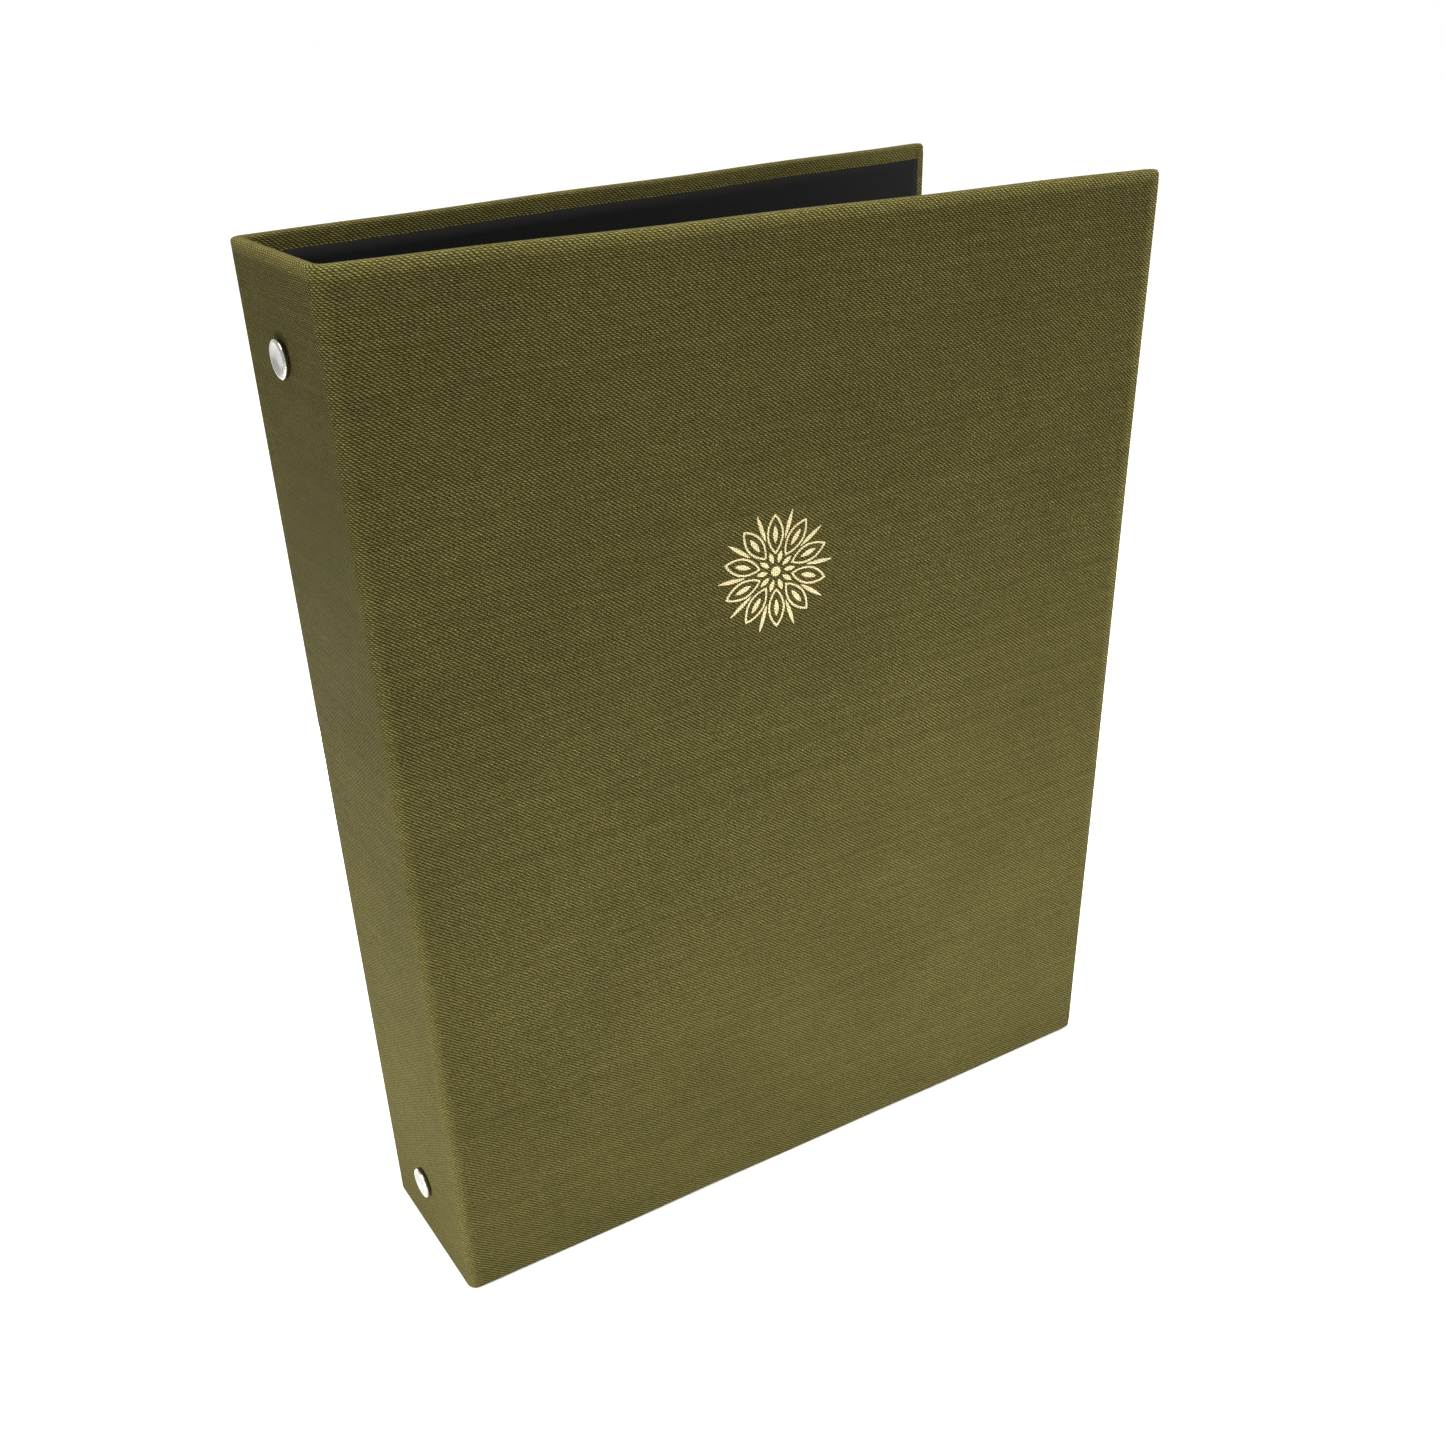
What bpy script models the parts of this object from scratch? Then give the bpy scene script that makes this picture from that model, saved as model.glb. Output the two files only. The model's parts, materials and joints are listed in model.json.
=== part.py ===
"""A cloth-covered ring album standing on its lower edge, a little open.

Metres, +Z up. Three boards (front cover, spine, back cover) are wrapped in one book cloth and lined
with paper; the cloth is the hinge between them. A ring mechanism is riveted to the spine: an arched
housing holds two blades that carry the half rings, and a lever at each end toggles the blades.

The shapes are laid out as if both covers were closed: X runs from the spine's outer face to the
fore edges, Y across the spine with the front cover at -Y, and Z up from the foot. Empties on the
joint axes then turn each cover to its rest angle. The album's origin is the middle of the spine
panel's foot.
"""

import math

import bmesh
import bpy
from mathutils import Vector

# The album's outside
HEIGHT = 0.320
COVER_WIDTH = 0.245
SPINE_WIDTH = 0.055
FRONT_OPEN = math.radians(7.9)
BACK_OPEN = math.radians(3.5)

# The layers of a panel, from the outside in
CLOTH = 0.0004
LAYER_GAP = 0.00025
BOARD = 0.0019
LINER = 0.0003
PANEL = 2 * (CLOTH + LAYER_GAP) + BOARD
BOARD_DEPTH = CLOTH + LAYER_GAP
LINER_DEPTH = PANEL + LAYER_GAP
INSIDE = LINER_DEPTH + LINER

# The cloth's edges
CORNER_RADIUS = 0.003
TURN_IN = 0.015
EDGE_ROUND = 0.0008
SEAM = 0.0003
CLOTH_START = 0.001
LINER_TOP_MARGIN = 0.0049
LINER_FORE_MARGIN = 0.0035
COVER_LINER_START = 0.008
LINING_WIDTH = 0.005
HINGE_INSET = CORNER_RADIUS * (1 - math.pi / 4)
HINGE_X = HINGE_INSET
HINGE_Y = SPINE_WIDTH / 2 - HINGE_INSET
SPINE_HALF = SPINE_WIDTH / 2 - CORNER_RADIUS

# The ornament on the front cover
ORNAMENT_RADIUS = 0.0195
ORNAMENT_X = 0.115
ORNAMENT_Z = 0.223
FOIL = 0.0002

# The ring mechanism
MIDDLE = HEIGHT / 2
RING_STATIONS = [MIDDLE + offset for offset in (-0.120, -0.040, 0.040, 0.120)]
RING_RADIUS = 0.0176
WIRE = 0.0016
RING_X = 0.0275
RING_LAST_TURN = math.radians(143)
RING_GAP = 0.0003
SHANK_Y = 0.008
SHANK_TOP = 0.0108
SHANK_FOOT = 0.0070
HOUSING_HALF = 0.0135
HOUSING_FOOT = INSIDE + 0.0003
HOUSING_SHOULDER = 0.0061
HOUSING_CROWN = 0.0125
HOUSING_SHEET = 0.001
HOUSING_END = 0.010
ARCH_POWER = 2 / 3
SLOT_OUT = 0.0012
SLOT_STRETCH = 1.3
SLOT_RADIUS = WIRE + 0.0005
EAR_LENGTH = 0.006
LIP_LOW = 0.0066
LIP_HIGH = 0.0074
LIP_REACH = 0.0015
BLADE = 0.0009
BLADE_X = 0.0084
BLADE_Y = 0.0116
BLADE_TILT = math.radians(6)
BLADE_END = 0.016
BLADE_GAP = 0.0004

# The levers and their pins
PIN_RADIUS = 0.00125
PIN_X = 0.0068
PIN_Z = 0.013
PIN_HALF = 0.0139
HUB_RADIUS = 0.0024
LEVER_HALF = 0.006
TAB_LENGTH = 0.017
TAB_SHEET = 0.0012
TAB_OFFSET = 0.0017
TIP_ROLL = 0.0011
TIP_OVER = 0.0005
TONGUE_LENGTH = 0.0045
TONGUE_DEPTH = 0.0013
TONGUE_SHEET = 0.001
RUNNING_GAP = 0.0003

# The rivets
RIVET_OFFSET = 0.135
RIVET_SHAFT = 0.0025
RIVET_HEAD = 0.0048
RIVET_HOLE = RIVET_SHAFT + 0.0004
BLADE_NOTCH = 0.0034
# The head's dished face and rolled rim: (distance from the spine's face, radius)
RIVET_FACE = (
    (-0.0009, 0),
    (-0.00095, 0.0022),
    (-0.0014, 0.0029),
    (-0.0017, 0.0036),
    (-0.0016, 0.0042),
    (-0.0011, 0.0046),
    (-0.0005, RIVET_HEAD),
    (-0.0003, 0.0046),
    (-0.0003, RIVET_SHAFT),
)
# The clinched end, from where it meets the housing: (distance, radius)
RIVET_CLINCH = (
    (0, RIVET_SHAFT),
    (0, 0.0038),
    (0.0005, 0.0041),
    (0.0010, 0.0036),
    (0.0011, 0.0028),
    (0.0006, 0.0019),
    (0.0005, 0),
)

ROUND_SIDES = 32
SMALL_SIDES = 20
FINE_SIDES = 48
CUT_OVER = 0.002
LONG_CUT_HALF = 0.02
LEVER_BORE_HALF = 0.01
SLOT_CUT_HALF = 0.003
BLADE_CUT_HALF = 0.004


# ---------------------------------------------------------------- helpers


def clear_scene():
    for obj in list(bpy.data.objects):
        bpy.data.objects.remove(obj, do_unlink=True)


def material(name, colour, roughness, metallic=0.0):
    made = bpy.data.materials.new(name)
    made.use_nodes = True
    shader = made.node_tree.nodes["Principled BSDF"]
    shader.inputs["Base Color"].default_value = (*colour, 1.0)
    shader.inputs["Roughness"].default_value = roughness
    shader.inputs["Metallic"].default_value = metallic
    return made


def empty(name, place, parent=None, turn=(0.0, 0.0, 0.0)):
    made = bpy.data.objects.new(name, None)
    made.location = place
    made.rotation_euler = turn
    made.parent = parent
    bpy.context.scene.collection.objects.link(made)
    return made


def as_object(name, mesh_builder):
    """An object from a bmesh whose points are in the closed album's layout."""
    mesh = bpy.data.meshes.new(name)
    bmesh.ops.recalc_face_normals(mesh_builder, faces=mesh_builder.faces)
    if mesh_builder.calc_volume(signed=True) < 0:
        bmesh.ops.reverse_faces(mesh_builder, faces=mesh_builder.faces)
    mesh_builder.to_mesh(mesh)
    mesh_builder.free()
    made = bpy.data.objects.new(name, mesh)
    bpy.context.scene.collection.objects.link(made)
    return made


def round_over(obj, angle=35):
    obj.data.shade_smooth()
    obj.data.set_sharp_from_angle(angle=math.radians(angle))


def block(name, low, high, rounding=0.0, keep_sharp=None):
    """A box between two corners. keep_sharp tells which edges stay square, by their two points."""
    bm = bmesh.new()
    bmesh.ops.create_cube(bm, size=1.0)
    for vert in bm.verts:
        for axis in range(3):
            vert.co[axis] = high[axis] if vert.co[axis] > 0 else low[axis]
    if rounding:
        edges = [e for e in bm.edges if not (keep_sharp and keep_sharp(*e.verts))]
        bmesh.ops.bevel(
            bm, geom=edges, offset=rounding, segments=3, profile=0.5, affect="EDGES"
        )
    return as_object(name, bm)


def across(side, x_range, depth_range, z_range):
    """The two corners of a box on a cover: depth is measured inwards from the cover's outer face."""
    outer = SPINE_WIDTH / 2
    ys = sorted(side * (outer - depth) for depth in depth_range)
    return (x_range[0], ys[0], z_range[0]), (x_range[1], ys[1], z_range[1])


def extruded(name, outline, start, end):
    """A closed outline in plan, drawn upwards from start to end."""
    bm = bmesh.new()
    face = bm.faces.new([bm.verts.new((x, y, start)) for x, y in outline])
    grown = bmesh.ops.extrude_face_region(bm, geom=[face])
    moved = [g for g in grown["geom"] if isinstance(g, bmesh.types.BMVert)]
    bmesh.ops.translate(bm, verts=moved, vec=Vector((0, 0, end - start)))
    return as_object(name, bm)


def turned(name, profile, place):
    """A shape turned about a line along X. The profile runs from pole to pole as (x, radius)."""
    bm = bmesh.new()
    rings = []
    for x, radius in profile[1:-1]:
        rings.append(
            [
                bm.verts.new(
                    (
                        place[0] + x,
                        place[1] + radius * math.cos(math.tau * i / ROUND_SIDES),
                        place[2] + radius * math.sin(math.tau * i / ROUND_SIDES),
                    )
                )
                for i in range(ROUND_SIDES)
            ]
        )
    poles = [
        bm.verts.new((place[0] + profile[i][0], place[1], place[2])) for i in (0, -1)
    ]
    for first, second in zip(rings, rings[1:]):
        for i in range(ROUND_SIDES):
            j = (i + 1) % ROUND_SIDES
            bm.faces.new((first[i], first[j], second[j], second[i]))
    for pole, ring in zip(poles, (rings[0], rings[-1])):
        for i in range(ROUND_SIDES):
            bm.faces.new((pole, ring[i], ring[(i + 1) % ROUND_SIDES]))
    return as_object(name, bm)


def rod(name, axis, radius, place, half, stretch=1.0):
    """A round rod along X or Y about place; stretch widens one along X in Y."""
    bm = bmesh.new()
    bmesh.ops.create_cone(
        bm,
        cap_ends=True,
        segments=SMALL_SIDES,
        radius1=radius,
        radius2=radius,
        depth=2 * half,
    )
    for vert in bm.verts:
        x, y, z = vert.co
        if axis == "X":
            vert.co = (z, y * stretch, x)
        else:
            vert.co = (x, z, y)
    bmesh.ops.translate(bm, verts=bm.verts, vec=place)
    return as_object(name, bm)


def combine(obj, other, operation):
    """Joins or cuts obj with another object, which stays in the file as a hidden helper."""
    step = obj.modifiers.new(f"{operation.lower()} {other.name}", "BOOLEAN")
    step.operation = operation
    step.solver = "EXACT"
    step.object = other
    other.hide_render = True
    other.display_type = "WIRE"
    return obj


def cut(obj, *cutters):
    for cutter in cutters:
        combine(obj, cutter, "DIFFERENCE")
    return obj


def join(obj, *others):
    for other in others:
        combine(obj, other, "UNION")
    return obj


def attach(obj, frame):
    """Hangs obj and the helpers of its modifiers on an empty, so that it turns about the empty."""
    for item in [obj, *(step.object for step in obj.modifiers if step.type == "BOOLEAN")]:
        shift = Vector(frame.location)
        if item.type == "MESH":
            for vert in item.data.vertices:
                vert.co -= shift
        else:
            for point in item.data.splines[0].points:
                point.co = (*(Vector(point.co[:3]) - shift), 1.0)
        item.parent = frame
    return obj


def finish(obj, frame, look):
    obj.data.materials.append(look)
    return attach(obj, frame)


# ---------------------------------------------------------------- looks


def book_cloth(name):
    return material(name, (0.125, 0.105, 0.045), 0.9)


def greyboard(name):
    return material(name, (0.30, 0.28, 0.25), 0.95)


def lining_paper(name):
    return material(name, (0.016, 0.015, 0.014), 0.8)


def nickel(name):
    return material(name, (0.72, 0.71, 0.69), 0.15, 1.0)


def steel(name):
    return material(name, (0.45, 0.45, 0.46), 0.35, 1.0)


def gold_foil(name):
    return material(name, (0.72, 0.53, 0.22), 0.3, 1.0)


# ---------------------------------------------------------------- panels


def cover_cloth(name, side):
    """The cloth of one cover: the outer sheet, wrapped over three edges and turned in."""

    def by_the_spine(a, b):
        return a.co.x == b.co.x == CORNER_RADIUS

    shell = block(
        name,
        *across(side, (CORNER_RADIUS, COVER_WIDTH), (0, PANEL), (0, HEIGHT)),
        rounding=EDGE_ROUND,
        keep_sharp=by_the_spine,
    )
    open_side = CORNER_RADIUS - CUT_OVER
    pocket = block(
        f"{name}_pocket",
        *across(
            side,
            (open_side, COVER_WIDTH - CLOTH),
            (CLOTH, PANEL - CLOTH),
            (CLOTH, HEIGHT - CLOTH),
        ),
    )
    window = block(
        f"{name}_window",
        *across(
            side,
            (open_side, COVER_WIDTH - TURN_IN),
            (PANEL / 2, PANEL + CUT_OVER),
            (TURN_IN, HEIGHT - TURN_IN),
        ),
    )
    relief = block(
        f"{name}_relief",
        *across(
            side,
            (open_side, CORNER_RADIUS + CLOTH_START),
            (CLOTH, PANEL + CUT_OVER),
            (-CUT_OVER, HEIGHT + CUT_OVER),
        ),
    )
    return cut(shell, pocket, window, relief)


def cover_board(name, side):
    return block(
        name,
        *across(
            side,
            (CORNER_RADIUS + CLOTH_START, COVER_WIDTH - BOARD_DEPTH),
            (BOARD_DEPTH, BOARD_DEPTH + BOARD),
            (BOARD_DEPTH, HEIGHT - BOARD_DEPTH),
        ),
    )


def cover_liner(name, side):
    """The lining paper laps over the turned-in cloth and sinks to the board between the turn-ins."""
    lap = block(
        name,
        *across(
            side,
            (COVER_LINER_START, COVER_WIDTH - LINER_FORE_MARGIN),
            (LINER_DEPTH, INSIDE),
            (LINER_TOP_MARGIN, HEIGHT - LINER_TOP_MARGIN),
        ),
    )
    bed = block(
        f"{name}_bed",
        *across(
            side,
            (COVER_LINER_START + SEAM, COVER_WIDTH - TURN_IN - SEAM),
            (BOARD_DEPTH + BOARD + LAYER_GAP, INSIDE - LINER / 2),
            (TURN_IN + SEAM, HEIGHT - TURN_IN - SEAM),
        ),
    )
    return join(lap, bed)


def rivet_holes(name, radius=RIVET_HOLE):
    return [
        rod(f"{name}_{label}", "X", radius, (0, 0, MIDDLE + offset), LONG_CUT_HALF)
        for label, offset in (("upper", RIVET_OFFSET), ("lower", -RIVET_OFFSET))
    ]


def spine_cloth(name):
    def by_a_hinge(a, b):
        return a.co.y == b.co.y

    shell = block(
        name,
        (0, -SPINE_HALF, 0),
        (PANEL, SPINE_HALF, HEIGHT),
        rounding=EDGE_ROUND,
        keep_sharp=by_a_hinge,
    )
    wide = SPINE_HALF + CUT_OVER
    pocket = block(
        f"{name}_pocket", (CLOTH, -wide, CLOTH), (PANEL - CLOTH, wide, HEIGHT - CLOTH)
    )
    window = block(
        f"{name}_window",
        (PANEL / 2, -wide, TURN_IN),
        (PANEL + CUT_OVER, wide, HEIGHT - TURN_IN),
    )
    reliefs = [
        block(
            f"{name}_relief_{label}",
            (CLOTH, min(side * (SPINE_HALF - CLOTH_START), side * wide), -CUT_OVER),
            (
                PANEL + CUT_OVER,
                max(side * (SPINE_HALF - CLOTH_START), side * wide),
                HEIGHT + CUT_OVER,
            ),
        )
        for label, side in (("front", -1), ("back", 1))
    ]
    return cut(shell, pocket, window, *reliefs, *rivet_holes(f"{name}_hole"))


def spine_board(name):
    half = SPINE_HALF - CLOTH_START
    board = block(
        name,
        (BOARD_DEPTH, -half, BOARD_DEPTH),
        (BOARD_DEPTH + BOARD, half, HEIGHT - BOARD_DEPTH),
    )
    return cut(board, *rivet_holes(f"{name}_hole"))


def lining_strip(name, low_y, high_y):
    """A stretch of lining on the spine, lapped over the turn-ins at its top and bottom."""
    lap = block(
        name,
        (LINER_DEPTH, low_y, LINER_TOP_MARGIN),
        (INSIDE, high_y, HEIGHT - LINER_TOP_MARGIN),
    )
    bed = block(
        f"{name}_bed",
        (BOARD_DEPTH + BOARD + LAYER_GAP, low_y + SEAM, TURN_IN + SEAM),
        (INSIDE - LINER / 2, high_y - SEAM, HEIGHT - TURN_IN - SEAM),
    )
    return join(lap, bed)


def spine_liner(name):
    half = SPINE_HALF - CLOTH_START - LINING_WIDTH
    return cut(lining_strip(name, -half, half), *rivet_holes(f"{name}_hole"))


def hinge_lining(name, side):
    inner = SPINE_HALF - CLOTH_START - LINING_WIDTH + SEAM
    outer = SPINE_HALF - CLOTH_START
    return lining_strip(name, *sorted((side * inner, side * outer)))


def hinge_cloth(name, side):
    """The strip of cloth round the spine's corner, a quarter of a tube."""
    seam_turn = SEAM / CORNER_RADIUS
    steps = 8
    turns = [
        seam_turn + (math.pi / 2 - 2 * seam_turn) * i / steps for i in range(steps + 1)
    ]

    def at(radius, turn):
        return (
            CORNER_RADIUS - radius * math.cos(turn),
            side * (SPINE_HALF + radius * math.sin(turn)),
        )

    outline = [at(CORNER_RADIUS, turn) for turn in turns]
    outline += [at(CORNER_RADIUS - CLOTH, turn) for turn in reversed(turns)]
    strip = extruded(name, outline, 0, HEIGHT)
    round_over(strip)
    return strip


def ornament(name):
    """The thin foil stamped on the front cover, here as the plain disc that it fills."""
    bm = bmesh.new()
    bmesh.ops.create_cone(
        bm,
        cap_ends=True,
        segments=FINE_SIDES,
        radius1=ORNAMENT_RADIUS,
        radius2=ORNAMENT_RADIUS,
        depth=FOIL,
    )
    middle_y = -(SPINE_WIDTH / 2 + FOIL + FOIL / 2)
    for vert in bm.verts:
        x, y, z = vert.co
        vert.co = (ORNAMENT_X + x, middle_y + z, ORNAMENT_Z + y)
    return as_object(name, bm)


# ---------------------------------------------------------------- ring mechanism


def arch(half, rise, steps=20):
    """Points over the housing's arch from -Y to +Y: square shoulders that flow into a low crown."""
    points = []
    for i in range(steps + 1):
        turn = math.pi * i / steps
        across_it = -math.cos(turn)
        y = half * math.copysign(abs(across_it) ** ARCH_POWER, across_it)
        x = HOUSING_SHOULDER + rise * abs(math.sin(turn)) ** ARCH_POWER
        points.append((x, y))
    return points


def ring_housing(name):
    rise = HOUSING_CROWN - HOUSING_SHOULDER
    inner_half = HOUSING_HALF - HOUSING_SHEET
    lip_y = inner_half - LIP_REACH
    outline = [(HOUSING_FOOT, -HOUSING_HALF)]
    outline += arch(HOUSING_HALF, rise)
    outline += [
        (HOUSING_FOOT, HOUSING_HALF),
        (HOUSING_FOOT, inner_half),
        (LIP_LOW, inner_half),
        (LIP_LOW, lip_y),
        (LIP_HIGH, lip_y),
        (LIP_HIGH, inner_half),
    ]
    hidden = LIP_HIGH + RUNNING_GAP
    inside = [p for p in arch(inner_half, rise - HOUSING_SHEET) if p[0] > hidden]
    outline += list(reversed(inside))
    outline += [
        (LIP_HIGH, -inner_half),
        (LIP_HIGH, -lip_y),
        (LIP_LOW, -lip_y),
        (LIP_LOW, -inner_half),
        (HOUSING_FOOT, -inner_half),
    ]
    housing = extruded(name, outline, HOUSING_END, HEIGHT - HOUSING_END)
    round_over(housing)
    cutters = rivet_holes(f"{name}_rivet_hole")
    for i, z in enumerate(RING_STATIONS):
        for label, side in (("front", -1), ("back", 1)):
            place = (HOUSING_CROWN, side * (SHANK_Y + SLOT_OUT), z)
            slot_name = f"{name}_slot_{label}_{i}"
            cutters.append(
                rod(slot_name, "X", SLOT_RADIUS, place, SLOT_CUT_HALF, SLOT_STRETCH)
            )
    ends = (
        ("bottom", HOUSING_END - CUT_OVER, HOUSING_END + EAR_LENGTH, PIN_Z),
        (
            "top",
            HEIGHT - HOUSING_END - EAR_LENGTH,
            HEIGHT - HOUSING_END + CUT_OVER,
            HEIGHT - PIN_Z,
        ),
    )
    for label, low, high, pin_z in ends:
        cutters.append(
            block(
                f"{name}_mouth_{label}",
                (HOUSING_FOOT + CUT_OVER / 2, -inner_half, low),
                (HOUSING_CROWN + CUT_OVER, inner_half, high),
            )
        )
        cutters.append(
            rod(
                f"{name}_pin_hole_{label}",
                "Y",
                PIN_RADIUS + RUNNING_GAP,
                (PIN_X, 0, pin_z),
                LONG_CUT_HALF,
            )
        )
    return cut(housing, *cutters)


def blade(name, side):
    """One of the two plates in the housing. It turns about its outer edge, and dips inwards at rest."""
    reach = BLADE_Y - BLADE_GAP / 2
    inner = (BLADE_X - reach * math.tan(BLADE_TILT), side * BLADE_GAP / 2)
    outer = (BLADE_X, side * BLADE_Y)
    half = BLADE / 2
    outline = [
        (inner[0] - half, inner[1]),
        (outer[0] - half, outer[1]),
        (outer[0] + half, outer[1]),
        (inner[0] + half, inner[1]),
    ]
    plate = extruded(name, outline, BLADE_END, HEIGHT - BLADE_END)
    cutters = rivet_holes(f"{name}_notch", BLADE_NOTCH)
    for i, z in enumerate(RING_STATIONS):
        place = (BLADE_X, side * SHANK_Y, z)
        cutters.append(
            rod(f"{name}_hole_{i}", "X", WIRE + RUNNING_GAP, place, BLADE_CUT_HALF)
        )
    return cut(plate, *cutters)


def half_ring(name, side, z):
    """Round wire from the tip over the far side to a straight shank that ends in the blade."""
    first = RING_GAP / 2 / RING_RADIUS
    arc_steps = 16
    points = []
    for i in range(arc_steps + 1):
        turn = first + (RING_LAST_TURN - first) * i / arc_steps
        points.append(
            (
                RING_X + RING_RADIUS * math.cos(turn),
                side * RING_RADIUS * math.sin(turn),
            )
        )
    leave = Vector(points[-1])
    heading = Vector((-math.sin(RING_LAST_TURN), side * math.cos(RING_LAST_TURN)))
    arrive = Vector((SHANK_TOP, side * SHANK_Y))
    pull = (leave - arrive).length / 3
    knots = (
        leave,
        leave + pull * heading,
        arrive + pull * Vector((1, 0)),
        arrive,
    )
    bend_steps = 5
    for i in range(1, bend_steps + 1):
        t = i / bend_steps
        weights = ((1 - t) ** 3, 3 * t * (1 - t) ** 2, 3 * t * t * (1 - t), t**3)
        point = sum((w * k for w, k in zip(weights, knots)), Vector((0, 0)))
        points.append(tuple(point))
    points.append((SHANK_FOOT, side * SHANK_Y))

    curve = bpy.data.curves.new(name, "CURVE")
    curve.dimensions = "3D"
    curve.bevel_depth = WIRE
    curve.bevel_resolution = 2
    curve.use_fill_caps = True
    spline = curve.splines.new("POLY")
    spline.points.add(len(points) - 1)
    spline.use_smooth = True
    for point, (x, y) in zip(spline.points, points):
        point.co = (x, y, z, 1.0)
    made = bpy.data.objects.new(name, curve)
    bpy.context.scene.collection.objects.link(made)
    return made


def lever(name, inward):
    """The thumb lever at one end: a hub on its pin, a tab to pull and a tongue under the blades.

    inward is +1 for the lower lever, whose blades lie above it, and -1 for the upper one.
    """
    pin_z = PIN_Z if inward > 0 else HEIGHT - PIN_Z

    def slab(label, x_range, reach_range):
        zs = sorted(pin_z + inward * reach for reach in reach_range)
        return block(
            f"{name}_{label}",
            (PIN_X + x_range[0], -LEVER_HALF, zs[0]),
            (PIN_X + x_range[1], LEVER_HALF, zs[1]),
        )

    hub = rod(name, "Y", HUB_RADIUS, (PIN_X, 0, pin_z), LEVER_HALF)
    tab_reach = (-TAB_OFFSET - TAB_SHEET / 2, -TAB_OFFSET + TAB_SHEET / 2)
    tab = slab("tab", (0, TAB_LENGTH), tab_reach)
    tongue_x = (-TONGUE_DEPTH - TONGUE_SHEET / 2, -TONGUE_DEPTH + TONGUE_SHEET / 2)
    tongue = slab("tongue", tongue_x, (0, TONGUE_LENGTH))
    tip_place = (PIN_X + TAB_LENGTH, 0, pin_z - inward * TAB_OFFSET)
    tip = rod(f"{name}_tip", "Y", TIP_ROLL, tip_place, LEVER_HALF + TIP_OVER)
    bore_radius = PIN_RADIUS + RUNNING_GAP
    bore = rod(f"{name}_bore", "Y", bore_radius, (PIN_X, 0, pin_z), LEVER_BORE_HALF)
    join(hub, tab, tongue, tip)
    cut(hub, bore)
    round_over(hub)
    return hub


def lever_pin(name, z):
    pin = rod(name, "Y", PIN_RADIUS, (PIN_X, 0, z), PIN_HALF)
    round_over(pin)
    return pin


def rivet(name, z):
    """A tubular rivet: a head with a rolled rim outside the spine, clinched over the housing."""
    clinch = HOUSING_CROWN + RUNNING_GAP
    end = [(clinch + x, radius) for x, radius in RIVET_CLINCH]
    profile = [*RIVET_FACE, *end]
    made = turned(name, profile, (0, 0, z))
    round_over(made, 50)
    return made


# ---------------------------------------------------------------- the album


def build_cover(label, side, frame):
    finish(
        cover_cloth(f"{label}_cover_cloth", side), frame, book_cloth(f"{label} cloth")
    )
    finish(cover_board(f"{label}_board", side), frame, greyboard(f"{label} board"))
    finish(cover_liner(f"{label}_liner", side), frame, lining_paper(f"{label} liner"))


def build_spine(frame):
    finish(spine_cloth("spine_cloth"), frame, book_cloth("spine cloth"))
    finish(spine_board("spine_board"), frame, greyboard("spine board"))
    finish(spine_liner("spine_liner"), frame, lining_paper("spine liner"))
    for label, side in (("front", -1), ("back", 1)):
        strip = hinge_cloth(f"{label}_hinge_cloth", side)
        finish(strip, frame, book_cloth(f"{label} hinge cloth"))
        lining = hinge_lining(f"{label}_hinge_lining", side)
        finish(lining, frame, lining_paper(f"{label} hinge lining"))


def build_mechanism(frame, wings, levers):
    finish(ring_housing("ring_housing"), frame, nickel("housing nickel"))
    for label, offset in (("upper", RIVET_OFFSET), ("lower", -RIVET_OFFSET)):
        made = rivet(f"{label}_rivet", MIDDLE + offset)
        finish(made, frame, nickel(f"{label} rivet nickel"))
    for label, side in (("front", -1), ("back", 1)):
        wing = wings[label]
        finish(blade(f"{label}_blade", side), wing, steel(f"{label} blade steel"))
        for i, z in enumerate(RING_STATIONS, start=1):
            name = f"{label}_half_ring_{i}"
            finish(half_ring(name, side, z), wing, nickel(f"{name} nickel"))
    for label, inward, z in (("lower", 1, PIN_Z), ("upper", -1, HEIGHT - PIN_Z)):
        pin = lever_pin(f"{label}_lever_pin", z)
        finish(pin, frame, steel(f"{label} pin steel"))
        arm = lever(f"{label}_lever", inward)
        finish(arm, levers[label], nickel(f"{label} lever nickel"))


def main():
    clear_scene()
    root = empty("album", (-PANEL / 2, 0, 0))
    spine = empty("spine", (0, 0, 0), root)
    front_turn = (0, 0, -FRONT_OPEN)
    back_turn = (0, 0, BACK_OPEN)
    front = empty("front_hinge", (HINGE_X, -HINGE_Y, 0), root, front_turn)
    back = empty("back_hinge", (HINGE_X, HINGE_Y, 0), root, back_turn)
    wings = {
        label: empty(f"{label}_wing", (BLADE_X, side * BLADE_Y, MIDDLE), root)
        for label, side in (("front", -1), ("back", 1))
    }
    levers = {
        label: empty(f"{label}_lever_axis", (PIN_X, 0, z), root)
        for label, z in (("lower", PIN_Z), ("upper", HEIGHT - PIN_Z))
    }
    build_spine(spine)
    build_cover("front", -1, front)
    build_cover("back", 1, back)
    finish(ornament("foil_ornament"), front, gold_foil("foil"))
    build_mechanism(spine, wings, levers)


main()
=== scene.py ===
"""The look of a cloth-covered ring album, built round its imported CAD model.

Metres, +Z up, in the CAD frame: X runs from the spine to the fore edges, the front cover is at -Y, and
the album stands on Z = 0. The case is one book cloth glued round three boards, so each half of it is a
sheet that follows a line in plan: from the spine's middle, round the hinge, to the fore edge. A point
on a half is given by its distance along that line, its height, and its depth as a share of the panel's
thickness, from 0 on the outer face to 1 on the inner face.
"""

import json
import math

import bmesh
import bpy
from mathutils import Matrix, Vector

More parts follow.
